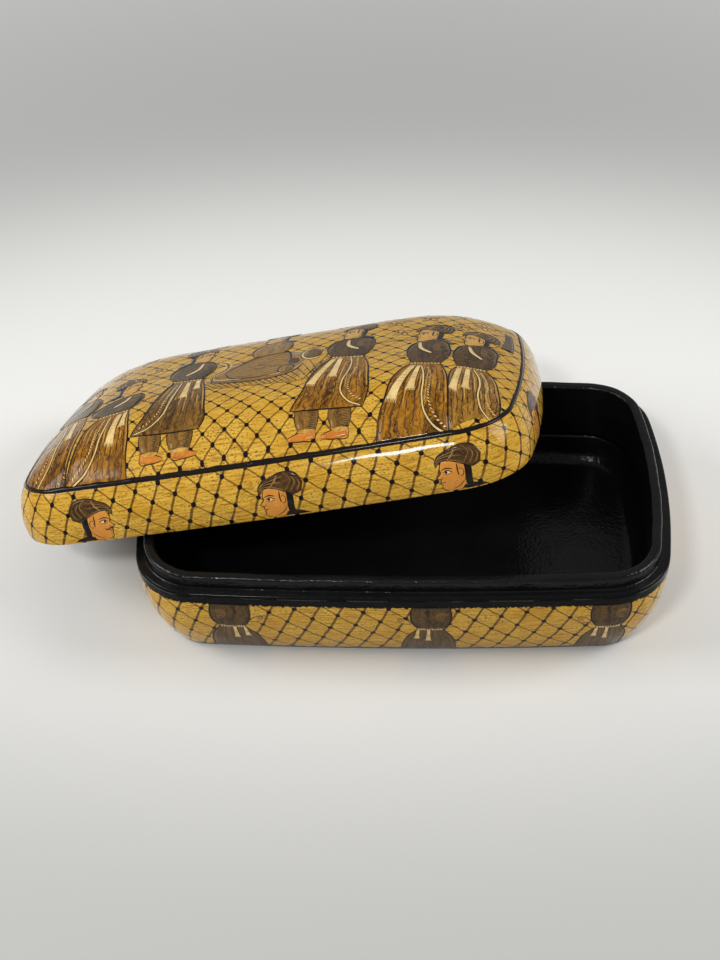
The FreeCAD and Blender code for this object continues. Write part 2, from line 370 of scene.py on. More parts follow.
def paintedMaterial(name, rule, top):
    paint = Paint(name)
    wrap, place = paint.map("wrap"), paint.place()
    s, h, _ = paint.parts(wrap)
    x, y, z = paint.parts(place)
    wobbles = paint.noise(place, 0.16, 1), paint.noise(paint.stretch(place, (1, 1, -1)), 0.19, 1)
    stray, strayToo = ((wobble - 0.5) * look["wobble"] * 2 for wobble in wobbles)
    lineA, lineB, reach = sideTrellis(s + stray, h + strayToo, rule)
    grain = paint.node("CombineXYZ", {}, {0: s, 1: h, 2: 0.0})
    if top:
        onTop = ((h - lid["bandHeight"]) * 4 + 0.5).clamp()
        topA, topB, topReach = topTrellisLines(x + stray, y + strayToo, topTrellis)
        lineA = lineA + (topA - lineA) * onTop
        lineB = lineB + (topB - lineB) * onTop
        reach = reach + (topReach + 0.1 - reach) * onTop
        level = paint.stretch(place, (1, 1, 0))
        grain = paint.node("Mix", {"data_type": "VECTOR"}, {0: onTop, 4: grain, 5: level}, 1)
    colour = groundColour(paint, grain)
    ragged = paint.noise(place, 0.9, 3)
    thick = ragged * 0.7 + 0.55
    colour = paint.blend((lineA * thick).clamp() * 0.95, colour, look["line"])
    colour = paint.blend((lineB * thick).clamp() * 0.90, colour, look["line"])
    dots = ((ragged * 0.5 + 0.68 - reach) * 7 + 0.5).clamp()
    colour = paint.blend(dots, colour, look["dot"])
    if top:                      # the black line along the crease
        edge = band(h - lid["bandHeight"] - 0.55 + (ragged - 0.5) * 0.3, 0.62)
    else:
        upper = ((z - look["blackFrom"] + (ragged - 0.5) * 2.6) * 6 + 0.5).clamp()
        lower = ((look["blackTo"] - z + (ragged - 0.5) * 1.2) * 6 + 0.5).clamp()
        edge = upper.maths("MAXIMUM", lower)
    colour = paint.blend(edge, colour, look["black"])
    pitted = paint.noise(paint.stretch(place, (0.45, 0.45, 0.9)), 1.0, 2)
    relief = (lineA + lineB + dots * 2 + edge * 3) * 0.03 + ragged * 0.10
    relief = relief + paint.noise(place, 0.25, 2) * 1.8 + pitted * 1.1
    return underVarnish(paint, {
        "Base Color": colour,
        "Roughness": paint.noise(place, 0.35, 2) * 0.16 + 0.30,
        "Normal": paint.bump(relief, 0.6, 0.0006),
        "Coat Weight": (varnish(paint) - edge * 0.2).clamp(),
    })


def lacquerMaterial():
    paint = Paint("blackLacquer")
    place = paint.place()
    slow = paint.noise(paint.stretch(place, (0.05, 0.05, 0.16)), 1.0, 2)
    quick = paint.noise(paint.stretch(place, (0.75, 0.75, 0.9)), 1.0, 3)
    return paint.finish({"Specular IOR Level": look["lacquerGloss"]}, {
        "Base Color": paint.blend(slow, look["lacquerDeep"], look["lacquerPale"]),
        "Roughness": quick * 0.12 + 0.08,
        "Normal": paint.bump(slow * 1.2 + quick * 0.32, 0.6, 0.0012),
    })


aroundSteps = 500
sAround = np.arange(aroundSteps) * girth / aroundSteps
# A profile's row is an inset, a height, a share of the outline and the wrap's height. These
# stand for a curve instead: the wall's own inset, the dome's height and the roof's inside.
onWall, onDome, underDome = -1, -1, -2


def rowsOf(*columns):        # rows from columns; one number stands for a whole column
    return np.stack(np.broadcast_arrays(*columns), axis=1).astype(float)


# Squares between rings carried round the plan, from each to the next and, in a loop, to the first.
def ringFaces(rings, loop):
    row = np.arange(aroundSteps)
    right = (row + 1) % aroundSteps
    first = np.arange(rings if loop else rings - 1)[:, None] * aroundSteps
    after = (first + aroundSteps) % (rings * aroundSteps)
    corners = [first + row, first + right, after + right, after + row]
    return np.stack(corners, axis=-1).reshape(-1, 4)


# The wrap at each face's corners; a face over the seam goes on past the girth.
def cornerWrap(wrap, faces):
    uv = wrap[faces]
    s = uv[..., 0]
    crosses = (s.max(axis=1) - s.min(axis=1) > girth / 2)[:, None]
    uv[..., 0] = np.where(crosses & (s < girth / 2), s + girth, s)
    return uv.reshape(-1, 2)


def buildMesh(name, points, faces, mapName, uv, place, materials, kinds):
    mesh = bpy.data.meshes.new(name)
    mesh.from_pydata(toMetres(points).tolist(), [], faces)
    mesh.uv_layers.new(name=mapName).data.foreach_set("uv", uv.astype(np.float32).ravel())
    attribute = mesh.attributes.new("place", "FLOAT_VECTOR", "POINT")
    attribute.data.foreach_set("vector", place.astype(np.float32).ravel())
    for material in materials:
        mesh.materials.append(material)
    mesh.polygons.foreach_set("material_index", kinds.astype(np.int32))
    mesh.polygons.foreach_set("use_smooth", np.ones(len(faces), dtype=bool))
    mesh.update()
    made = bpy.data.objects.new(name, mesh)
    bpy.context.scene.collection.objects.link(made)
    return made


def quarterArc(start, end, steps, outFirst):
    # a quarter round from start to end, leaving along the first or the second axis
    turn = np.linspace(0, math.pi / 2, steps)
    a, b = (np.sin(turn), 1 - np.cos(turn)) if outFirst else (1 - np.cos(turn), np.sin(turn))
    return rowsOf(start[0] + (end[0] - start[0]) * a, start[1] + (end[1] - start[1]) * b)


# A closed shell: the profile's rings, and a fan of faces to a pole at each end. Over the top
# the wrap's height goes on by (1 - share) of the way from the edge to the middle.
def shellPiece(name, profile, insetRule, heightRule, toRow, materials, kinds):
    inset, height, share, wrapHeight = (profile[:, k, None] for k in range(4))
    x, y = planAt(sAround + 0 * inset, insetRule(sAround, height, inset))
    x, y, z = share * x, share * y, height + 0 * sAround
    if heightRule:
        z = heightRule(x, y, z, share)
    local = np.stack([x, y, z], -1).reshape(-1, 3)
    local = np.concatenate([local, [[0, 0, z[0].mean()], [0, 0, z[-1].mean()]]])
    row = np.arange(aroundSteps)
    right = (row + 1) % aroundSteps
    last = (len(profile) - 1) * aroundSteps
    quads = ringFaces(len(profile), False)
    fans = np.concatenate([rowsOf(len(local) - 2, right, row),
                           rowsOf(len(local) - 1, last + row, last + right)]).astype(int)
    edge = np.stack(planAt(sAround, 5))
    outward = np.stack(planAt(sAround, 4)) - edge        # one millimetre, square to the edge
    facing = (edge * outward).sum(axis=0)                # from the centre to the edge
    heights = (wrapHeight + (1 - share) * facing).ravel()
    wrap = np.stack([np.tile(sAround, len(profile)), heights], 1)
    wrap = np.concatenate([wrap, [[0, heights[0]], [0, heights[-1]]]])
    kinds = np.repeat([*kinds[:-1], kinds[0], kinds[-1]], aroundSteps)
    uv = np.concatenate([cornerWrap(wrap, quads), cornerWrap(wrap, fans)])
    return buildMesh(name, toRow(local), quads.tolist() + fans.tolist(), "wrap", uv, local,
                     materials, kinds)


# From the middle of the underside up the wall, over the ledge, down behind the collar, through
# a bowl of the form (1 - cos ** power, 1 - sin ** power) and along the floor to its middle.
def baseProfile():
    top, foot, r = base["seatHeight"], base["collarFoot"], base["ledgeRound"]
    outer, inner = base["collarInset"], base["innerInset"]
    behind = outer + 0.01
    under = rowsOf(base["underInset"], 0, np.linspace(0.06, 1, 14))
    z = np.concatenate([np.linspace(0.5, base["bellyHeight"], 30),
                        np.linspace(*base["upright"], 4)])
    turn = np.linspace(0, math.pi / 2, 18)[1:]
    power = 2 / base["bowlPower"]
    bowl = rowsOf(inner + (base["floorInset"] - inner) * (1 - np.cos(turn) ** power),
                  base["floorHeight"] + (foot - base["floorHeight"]) * (1 - np.sin(turn) ** power))
    bowl[-1] = base["floorInset"], base["floorHeight"]
    inside = np.concatenate([
        quarterArc((0, top - r), (r, top), 7, False),
        rowsOf((*base["ledgeIn"], outer), top + np.array(base["ledgeUp"])),
        rowsOf(behind, (*base["gapSteps"], foot)),
        rowsOf(((outer + inner) / 2, inner), foot),
        bowl,
    ])
    turnUp = rowsOf((10.55, 10.05), (0.12, 0.3), 1)       # from the flat into the foot
    outside = np.concatenate([under, turnUp, rowsOf(onWall, z, 1)])
    floor = rowsOf(base["floorInset"], base["floorHeight"], np.linspace(1, 0.04, 16)[1:])
    profile = np.concatenate([outside, rowsOf(*inside.T, 1), floor])
    painted = slice(len(under), len(outside) + 5)     # up to the round of the ledge
    return rowsOf(*profile.T, profile[:, 1]), painted


def baseInsetRule(s, height, inset):
    return np.where(inset == onWall, baseInset(s, height), inset + 0 * s)


def makeBase(ochre, black):
    profile, painted = baseProfile()
    kinds = np.ones(len(profile), dtype=int)
    kinds[painted] = 0
    made = shellPiece("baseShell", profile, baseInsetRule, None, asItStands, [ochre, black], kinds)
    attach(made, "base")
    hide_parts("base_shell")


# A ring with a rounded lip, a little wavy where it stands free of the wall.
def makeCollar(black):
    r, outer, top, foot = collar["lipRound"], collar["inset"], collar["top"], collar["foot"]
    inner = outer + collar["width"]
    profile = np.concatenate([
        rowsOf(outer, np.linspace(foot, top - r, 9)),
        quarterArc((outer, top - r), (outer + r, top), 8, False)[1:],
        rowsOf(np.linspace(outer + r, inner - r, 5)[1:], top),
        quarterArc((inner - r, top), (inner, top - r), 8, True)[1:],
        rowsOf(inner, np.linspace(top - r, foot, 9))[1:],
    ])
    inset, height = profile[:, :1], profile[:, 1:]
    turn = 2 * math.pi * sAround / girth
    slow, quick = uneven["collar"]
    wavy = slow * np.sin(17 * turn + 0.4) + quick * np.sin(41 * turn + 2.1)
    free = np.clip((height - collar["free"][0]) / collar["free"][1], 0, 1)
    x, y = planAt(sAround + 0 * inset, inset + wavy * free)
    z = height + uneven["lip"] * np.sin(13 * turn + 1.1) * np.sin(5 * turn) * free
    local = np.stack([x, y, z], -1).reshape(-1, 3)
    quads = ringFaces(len(profile), True)
    wrap = rowsOf(np.tile(sAround, len(profile)), np.repeat(profile[:, 1], aroundSteps))
    made = buildMesh("collarRing", local, quads.tolist(), "wrap", cornerWrap(wrap, quads), local,
                     [black], np.zeros(len(quads)))
    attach(made, "base")
    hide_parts("inner_collar")


# From the middle of the roof's inside down the inner wall, round the rim, up the band and
# over the dome to its middle.
def lidProfile():
    high, r, wall, inner = (lid[key] for key in ("bandHeight", "rimRound", "wall", "innerCrease"))
    turn = np.linspace(0, math.pi / 2, 7)
    rim = r - r * np.sin(turn), r - r * np.cos(turn)
    worn = np.array([2, 1.5, 1.1, 0.75, 0.45, 0.2, 0])
    h = np.concatenate([np.linspace(r, high - 2.5, 20)[1:], high - worn])
    share = np.concatenate([1 - np.array([0.004, 0.009, 0.015, 0.023, 0.035, 0.05]),
                            np.linspace(0.93, 0.04, 34)])
    shareIn = np.concatenate([1 - np.array([0.006, 0.014, 0.025, 0.045]),
                              np.linspace(0.92, 0.04, 24)])
    up = np.linspace(0, 1, 16)
    lean = up ** lid["innerPower"]
    rimTop, roof = 0.6, high - lid["roof"]
    under = [
        rowsOf(inner, underDome, shareIn, 0)[::-1],
        rowsOf(wall + (inner - wall) * lean, rimTop + (roof - rimTop) * up, 1, 0)[::-1],
        rowsOf((wall - 0.25, wall - 0.8), (0.12, 0), 1, 0),
    ]
    outer = [
        rowsOf(*rim, 1, rim[1]),
        rowsOf(onWall, h, 1, h),
        rowsOf(creaseEdge, onDome, share, high),
    ]
    return np.concatenate([*under, *outer]), sum(len(part) for part in under)


def lidInsetRule(s, height, inset):
    return np.where(inset == onWall, bandInset(s, np.maximum(height, 0)), inset + 0 * s)


def lidHeightRule(x, y, z, share):
    under = lid["bandHeight"] - lid["roof"] + lid["rise"] * (1 - share ** lid["domePower"])
    return np.where(z == onDome, domeHeight(x, y, share), np.where(z == underDome, under, z))


def makeLid(ochre, black):
    profile, hidden = lidProfile()
    kinds = np.zeros(len(profile), dtype=int)
    kinds[:hidden + 2] = 1       # black inside and under the rim
    made = shellPiece("lidShell", profile, lidInsetRule, lidHeightRule, lidToRow,
                      [ochre, black], kinds)
    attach(made, "lid")
    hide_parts("lid_shell")


lidPaint = paintedMaterial("ochreLid", lidTrellis, True)
basePaint = paintedMaterial("ochreBase", baseTrellis, False)
lacquer = lacquerMaterial()
print("materials made")

makeBase(basePaint, lacquer)
makeCollar(lacquer)
makeLid(lidPaint, lacquer)
print("shells made")


# The painted figures are thin coats of paint, each a small grid laid on the shell.
coats = {
    "first": 0.03,           # how proud of the lacquer the first coat is, and each further one
    "each": 0.007,
    "thick": 0.10,           # most of it is sunk in the shell
    "lap": 0.08,             # how much prouder it is over the worn crease
    "outline": 0.52,
    "fold": 0.26,
}
paints = {                   # two colours that the brush streaks run between
    "robeGold": ((0.38, 0.160, 0.012), (0.050, 0.017, 0.002)),
    "robePale": ((0.36, 0.178, 0.024), (0.092, 0.040, 0.008)),
    "robeGrey": ((0.24, 0.115, 0.018), (0.042, 0.020, 0.006)),
    "bodice": ((0.105, 0.054, 0.011), (0.020, 0.010, 0.004)),
    "skirt": ((0.145, 0.080, 0.020), (0.048, 0.025, 0.008)),
    "trouser": ((0.26, 0.130, 0.026), (0.080, 0.038, 0.010)),
    "glow": ((0.62, 0.36, 0.080), (0.40, 0.20, 0.034)),
    "mat": ((0.56, 0.310, 0.040), (0.38, 0.190, 0.024)),
    "cushion": ((0.34, 0.185, 0.042), (0.15, 0.076, 0.018)),
    "cream": ((0.78, 0.57, 0.24), (0.60, 0.38, 0.12)),
    "skin": ((0.62, 0.255, 0.040), (0.50, 0.185, 0.026)),
    "skinPale": ((0.58, 0.320, 0.060), (0.46, 0.23, 0.040)),
    "slipper": ((0.60, 0.215, 0.030), (0.46, 0.14, 0.018)),
    "eye": ((0.76, 0.62, 0.34), (0.70, 0.54, 0.28)),
    "turban": ((0.105, 0.048, 0.012), (0.024, 0.012, 0.005)),
    "shade": ((0.045, 0.019, 0.005), (0.022, 0.010, 0.004)),
    "ink": ((0.006, 0.004, 0.003), (0.012, 0.007, 0.004)),
}
paintNames = list(paints)


# Streaks along the brush's way, a little bent, in fine and in broad ones.
def coatMaterial(name, light, dark):
    paint = Paint(name)
    brush, place = paint.map("brush"), paint.place()
    cloud = paint.noise(place, 0.33, 2)
    across, along, _ = paint.parts(brush)
    bent = paint.node("CombineXYZ", {}, {0: across + (cloud - 0.5) * 5, 1: along, 2: 0.0})
    streak = paint.noise(paint.stretch(bent, (2.1, 0.20, 1)), 1.0, 4, 0.62)
    broad = paint.noise(paint.stretch(bent, (0.60, 0.045, 1)), 1.0, 2)
    share = ((streak - 0.5) * 3.0 + (broad - 0.5) * 2.6 + 0.42).clamp()
    return underVarnish(paint, {
        "Base Color": paint.blend(share, (*light, 1), (*dark, 1)),
        "Roughness": cloud * 0.15 + 0.3,
        "Normal": paint.bump(streak, 0.12, 0.0002),
        "Coat Weight": varnish(paint),
    })


coatMaterials = [coatMaterial(f"paint_{name}", *tones) for name, tones in paints.items()]


# A smooth path through points: cubic pieces whose slopes are the chords beside each point.
def smooth(points, count):
    points = np.asarray(points, dtype=float)
    if len(points) == 2:
        t = np.linspace(0, 1, count)[:, None]
        return points[0] * (1 - t) + points[1] * t
    gaps = np.maximum(np.linalg.norm(np.diff(points, axis=0), axis=1), 1e-6)
    knots = np.concatenate([[0], np.cumsum(gaps)])
    slope = np.gradient(points, knots, axis=0)
    t = np.linspace(0, knots[-1], count)
    k = np.clip(np.searchsorted(knots, t, side="right") - 1, 0, len(gaps) - 1)
    w = ((t - knots[k]) / gaps[k])[:, None]
    span = gaps[k][:, None]
    return ((2 * w ** 3 - 3 * w ** 2 + 1) * points[k] + (w ** 3 - 2 * w ** 2 + w) * span * slope[k]
            + (3 * w ** 2 - 2 * w ** 3) * points[k + 1] + (w ** 3 - w ** 2) * span * slope[k + 1])


def turned(points, lean):        # about the origin, by lean radians
    turn = np.array([[math.cos(lean), -math.sin(lean)], [math.sin(lean), math.cos(lean)]])
    return points @ turn.T


class Figure:                # the coats of one figure, in the flat coordinates of its surface
    def __init__(self, origin=(0, 0), size=1, flip=False):
        self.origin = np.array(origin, dtype=float)
        self.scale = np.broadcast_to(size, 2) * (-1.0 if flip else 1.0, 1.0)
        self.coats = []

    def at(self, points):
        return self.origin + np.asarray(points, dtype=float) * self.scale

    # between two smooth edges: left * (1 - w) + right * w
    def fill(self, left, right, paint, layer, rows=20, columns=7):
        w = np.linspace(0, 1, columns)[None, :, None]
        left, right = (smooth(self.at(edge), rows)[:, None, :] for edge in (left, right))
        self.coats.append((left * (1 - w) + right * w, paint, layer))

    # a brush line: the path, half the width to either side, thinner at its ends
    def line(self, points, width, paint, layer, count=0, ends=0.35):
        points = self.at(points)
        length = np.linalg.norm(np.diff(points, axis=0), axis=1).sum()
        path = smooth(points, count or int(max(4, min(40, length / 0.8))))
        along = np.gradient(path, axis=0)
        along /= np.maximum(np.linalg.norm(along, axis=1), 1e-9)[:, None]
        side = np.stack([-along[:, 1], along[:, 0]], 1)
        t = np.linspace(0, 1, len(path))
        swell = ends + (1 - ends) * np.sin(math.pi * t) ** 0.5
        half = (side * (width / 2 * swell)[:, None])[:, None, :]
        w = np.array([-1, 1])[None, :, None]
        self.coats.append((path[:, None, :] + half * w, paint, layer))

    # a round dab: an oval of two half-turns
    def dab(self, centre, wide, high, paint, layer, lean=0.0, rows=12, columns=5):
        t = np.linspace(0.02, math.pi - 0.02, rows)
        x, y = np.sin(t) * wide / 2, np.cos(t) * high / 2
        left, right = (turned(np.stack([side * x, y], 1), lean) + centre for side in (-1, 1))
        self.fill(left, right, paint, layer, rows, columns)

    def ring(self, centre, wide, high, width, paint, layer, start=0.0, end=2 * math.pi, lean=0.0):
        t = np.linspace(start, end, 30)
        path = turned(np.stack([np.cos(t) * wide / 2, np.sin(t) * high / 2], 1), lean) + centre
        self.line(path, width, paint, layer, 30, 0.8)

    # a dab with its rim drawn on the next coat
    def pad(self, centre, wide, high, paint, layer, width, lean=0.0, rows=12, columns=5):
        self.dab(centre, wide, high, paint, layer, lean, rows, columns)
        self.ring(centre, wide, high, width, "ink", layer + 1, lean=lean)


# A point of the plan on the dome: its share is its distance over that of the crease its way.
def onLidTop(points, lift):
    x, y = points[:, 0], points[:, 1]
    edgeX, edgeY = planAt(np.linspace(0, girth, 2881)[:-1], creaseEdge)
    angles = np.arctan2(edgeY, edgeX)
    order = np.argsort(angles)
    crease = np.hypot(edgeX, edgeY)[order]
    reach = np.interp(np.arctan2(y, x), angles[order], crease, period=2 * math.pi)
    share = np.minimum(np.hypot(x, y) / reach, 0.999)
    pull = share * reach / np.maximum(np.hypot(x, y), 1e-9)
    x, y = x * pull, y * pull
    lap = coats["lap"] * np.exp((share - 1) * 24)
    return np.stack([x, y, domeHeight(x, y, share) + (lift * 1.25 + lap)], 1)


def onLidBand(points, lift):
    s, h = points[:, 0], np.clip(points[:, 1], 0.8, lid["bandHeight"] - 0.8)
    x, y = planAt(s, bandInset(s, h) - lift)
    return np.stack([x, y, h], 1)


def onBaseWall(points, lift):
    s, z = points[:, 0], np.clip(points[:, 1], 0.7, base["seatHeight"] - 1)
    x, y = planAt(s, baseInset(s, z) - lift * 1.1)
    return np.stack([x, y, z - lift * 0.3], 1)


# All coats of a figure as one mesh. Its brush map is the way across and along each coat, and
# every coat starts at another place of the streaks.
def layOn(name, figure, surface, toRow, body):
    points, brush, faces, kinds, lifts = [], [], [], [], []
    start = 0
    for index, (grid, paint, layer) in enumerate(figure.coats):
        rows, columns = grid.shape[:2]
        across = np.linalg.norm(grid[:, -1] - grid[:, 0], axis=1).mean()
        along = np.linalg.norm(np.diff(grid[:, columns // 2], axis=0), axis=1).sum()
        w, t = np.meshgrid(np.linspace(0, across, columns), np.linspace(0, along, rows))
        brush.append(np.stack([w + 7.3 * index, t + 3.1 * index], -1).reshape(-1, 2))
        corner = start + (np.arange(rows - 1)[:, None] * columns + np.arange(columns - 1)).ravel()
        quads = np.stack([corner, corner + columns, corner + columns + 1, corner + 1], 1)
        edgeA, edgeB = grid[1:, :-1] - grid[:-1, :-1], grid[1:, 1:] - grid[:-1, :-1]
        if (edgeA[..., 0] * edgeB[..., 1] - edgeA[..., 1] * edgeB[..., 0]).sum() < 0:
            quads = quads[:, ::-1]       # so that every coat faces out
        faces.append(quads)
        kinds.append(np.full(len(quads), paintNames.index(paint)))
        points.append(grid.reshape(-1, 2))
        lifts.append(np.full(rows * columns, coats["first"] + layer * coats["each"]))
        start += rows * columns
    local = surface(np.concatenate(points), np.concatenate(lifts))
    faces, kinds = np.concatenate(faces), np.concatenate(kinds)
    uv = np.concatenate(brush)[faces]
    made = buildMesh(name, toRow(local), faces.tolist(), "brush", uv, local, coatMaterials, kinds)
    thick = made.modifiers.new("coat", "SOLIDIFY")
    thick.thickness = coats["thick"] / 1000
    thick.offset = -1
    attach(made, body)


def between(a, b, share):
    return np.asarray(a, dtype=float) * (1 - share) + np.asarray(b, dtype=float) * share


# A robe between its two edges: streaked paint, dark wavy folds with pale strokes beside them,
# hooked strokes, a cream front edge with a row of beads, sash ends and a beaded belt.
def drawRobe(figure, spec, layer, folds=9):
    steps = 40
    rows = np.linspace(0, 1, steps)
    left, right = smooth(spec["left"], steps), smooth(spec["right"], steps)
    figure.fill(left, right, spec["tone"], layer, steps, 14)

    def inside(share, along):        # a place in the robe: share across it, along it to the hem
        a, b = (np.stack([np.interp(along, rows, edge[:, k]) for k in (0, 1)], -1)
                for edge in (left, right))
        share = np.asarray(share + 0 * along)[..., None]
        return a * (1 - share) + b * share

    for k in range(folds):
        share = (k + 0.65) / (folds + 0.3)
        along = np.linspace(0.04 + 0.06 * (k % 3), 0.97 - 0.09 * (k % 2), 18)
        sway = 0.020 * np.sin(5 * math.pi * along + 1.9 * k) * along
        figure.line(inside(share + sway, along), coats["fold"], "shade", layer + 1)
        if "panel" in spec:
            short = np.linspace(0.12 + 0.10 * (k % 4), 0.50 + 0.12 * (k % 3), 8)
            figure.line(inside(share + 0.04, short), 0.42, "glow", layer + 1)
        side = 1 if k % 2 else -1
        for j in range(4):
            foot = 0.34 + 0.165 * j + 0.035 * math.sin(2.1 * k + j)
            hook = inside(share + side * np.array([0.0, 0.006, 0.03, 0.048]),
                          foot + np.array([0, 0.08, 0.10, 0.06]))
            figure.line(hook, 0.24, "shade", layer + 2, 8)
    if "panel" in spec:
        figure.line(spec["panel"], 1.15, "ink", layer + 3, 40, 0.8)
        figure.line(spec["panel"], 0.60, "cream", layer + 4, 40, 0.8)
        path = smooth(spec["beads"], 51)
        figure.line(path, 0.20, "shade", layer + 3)
        for k in range(2, 50, 2):
            ahead = (path[k + 1] - path[k - 1]) / np.linalg.norm(path[k + 1] - path[k - 1])
            dash = ahead * 0.42 + np.array([-ahead[1], ahead[0]]) * 0.30
            figure.line([path[k] - dash, path[k] + dash], 0.42, "cream", layer + 4, 3, 0.7)
    for topLeft, topRight, lowLeft, lowRight in spec["sashes"]:
        for share in np.linspace(0, 1, 7):       # the fringe
            top, low = between(topLeft, topRight, share), between(lowLeft, lowRight, share)
            fringe = [between(top, low, 0.9), between(top, low, 1.07)]
            figure.line(fringe, 0.34, "cream", layer + 5, 3)
        figure.fill([topLeft, lowLeft], [topRight, lowRight], "cream", layer + 5, 12, 5)
        figure.line([topLeft, lowLeft], 0.24, "shade", layer + 6)
        figure.line([topRight, lowRight], 0.24, "shade", layer + 6)
        for share in (0.40, 0.50, 0.60):
            bar = [between(topLeft, lowLeft, share), between(topRight, lowRight, share)]
            figure.line(bar, 0.18, "shade", layer + 6, 3)
    for edge in ("left", "right", "hem"):
        if edge in spec:
            figure.line(spec[edge], coats["outline"], "ink", layer + 7)
    beads = 9
    for k in range(beads):
        bead = [between(left[0], right[0], at / beads) for at in (k, k + 0.72)]
        figure.line(bead, spec.get("belt", 0.95), "cream", layer + 8, 3, 0.85)
    figure.line([left[0], right[0]], 0.2, "ink", layer + 7)


# A bodice above the belt: a rounded body with a crossed cream collar, curved folds, a swirl
# at the shoulder behind and, where a hand shows, an open hand in front.
def drawBodice(figure, spec, layer):
    left, right = smooth(spec["bodyLeft"], 30), smooth(spec["bodyRight"], 30)
    if "hand" in spec:
        palm = np.array(spec["hand"])
        reach = (palm - left[6]) / np.linalg.norm(palm - left[6])
        lean = math.atan2(reach[1], reach[0])
        figure.dab(palm, 5.4, 2.3, "skinPale", layer, lean)
        for k in (-1, 0, 1):
            aside = np.array([-reach[1], reach[0]]) * 0.55 * k
            finger = [palm + aside * 0.6, palm + reach * 2.6 + aside]
            figure.line(finger, 0.2, "shade", layer + 1, 3)
        figure.ring(palm, 5.4, 2.3, 0.2, "shade", layer + 1, lean=lean)
    figure.fill(left, right, spec.get("bodice", "bodice"), layer + 1, 30, 10)
    for row in range(2, 20, 4):
        a, b = left[row], right[row]
        sag = (a + b) / 2 - (left[-1] + right[-1]) / 2
        fold = [between(a, b, 0.06), (a + b) / 2 + sag * 0.10, between(a, b, 0.94)]
        figure.line(fold, coats["fold"] * 0.8, "shade", layer + 2)
    wide, tall = np.linalg.norm(right[15] - left[15]), np.linalg.norm(left[-1] - left[0])
    shoulder = between(left[18], right[18], 0.78)
    for share in (0.12, 0.22, 0.32):
        figure.ring(shoulder, wide * share, tall * share * 1.2, 0.3, "trouser", layer + 3, 0.4, 5.2)
    for edge, count in ((left, 0), (right, 0), ([left[-1], right[-1]], 4)):
        figure.line(edge, coats["outline"], "ink", layer + 4, count)
    if "collar" in spec:
        figure.line(spec["collar"], 2.0, "ink", layer + 5, 14, 0.5)
        figure.line(spec["collar"], 1.4, "cream", layer + 6, 14, 0.4)


# A head in profile, looking left before any flip, one unit from chin to crown: the face is
# drawn to the usual thirds (brow, nose, chin), with the eye half way up the head.
face = {
    "front": [(-0.33, 0.78), (-0.375, 0.66), (-0.385, 0.57), (-0.368, 0.51), (-0.405, 0.45),
              (-0.462, 0.375), (-0.445, 0.345), (-0.385, 0.335), (-0.392, 0.285), (-0.402, 0.262),
              (-0.378, 0.238), (-0.396, 0.208), (-0.372, 0.165), (-0.382, 0.10), (-0.345, 0.035),
              (-0.26, 0.0)],
    "back": [(0.16, 0.78), (0.17, 0.66), (0.175, 0.55), (0.17, 0.45), (0.165, 0.36), (0.15, 0.27),
             (0.12, 0.19), (0.06, 0.12), (-0.03, 0.06), (-0.12, 0.02), (-0.20, 0.0)],
    "eye": (-0.215, 0.50),
    "brow": [(-0.35, 0.575), (-0.24, 0.61), (-0.10, 0.575)],
    "ear": (0.085, 0.46),
    "line": 0.022,
}


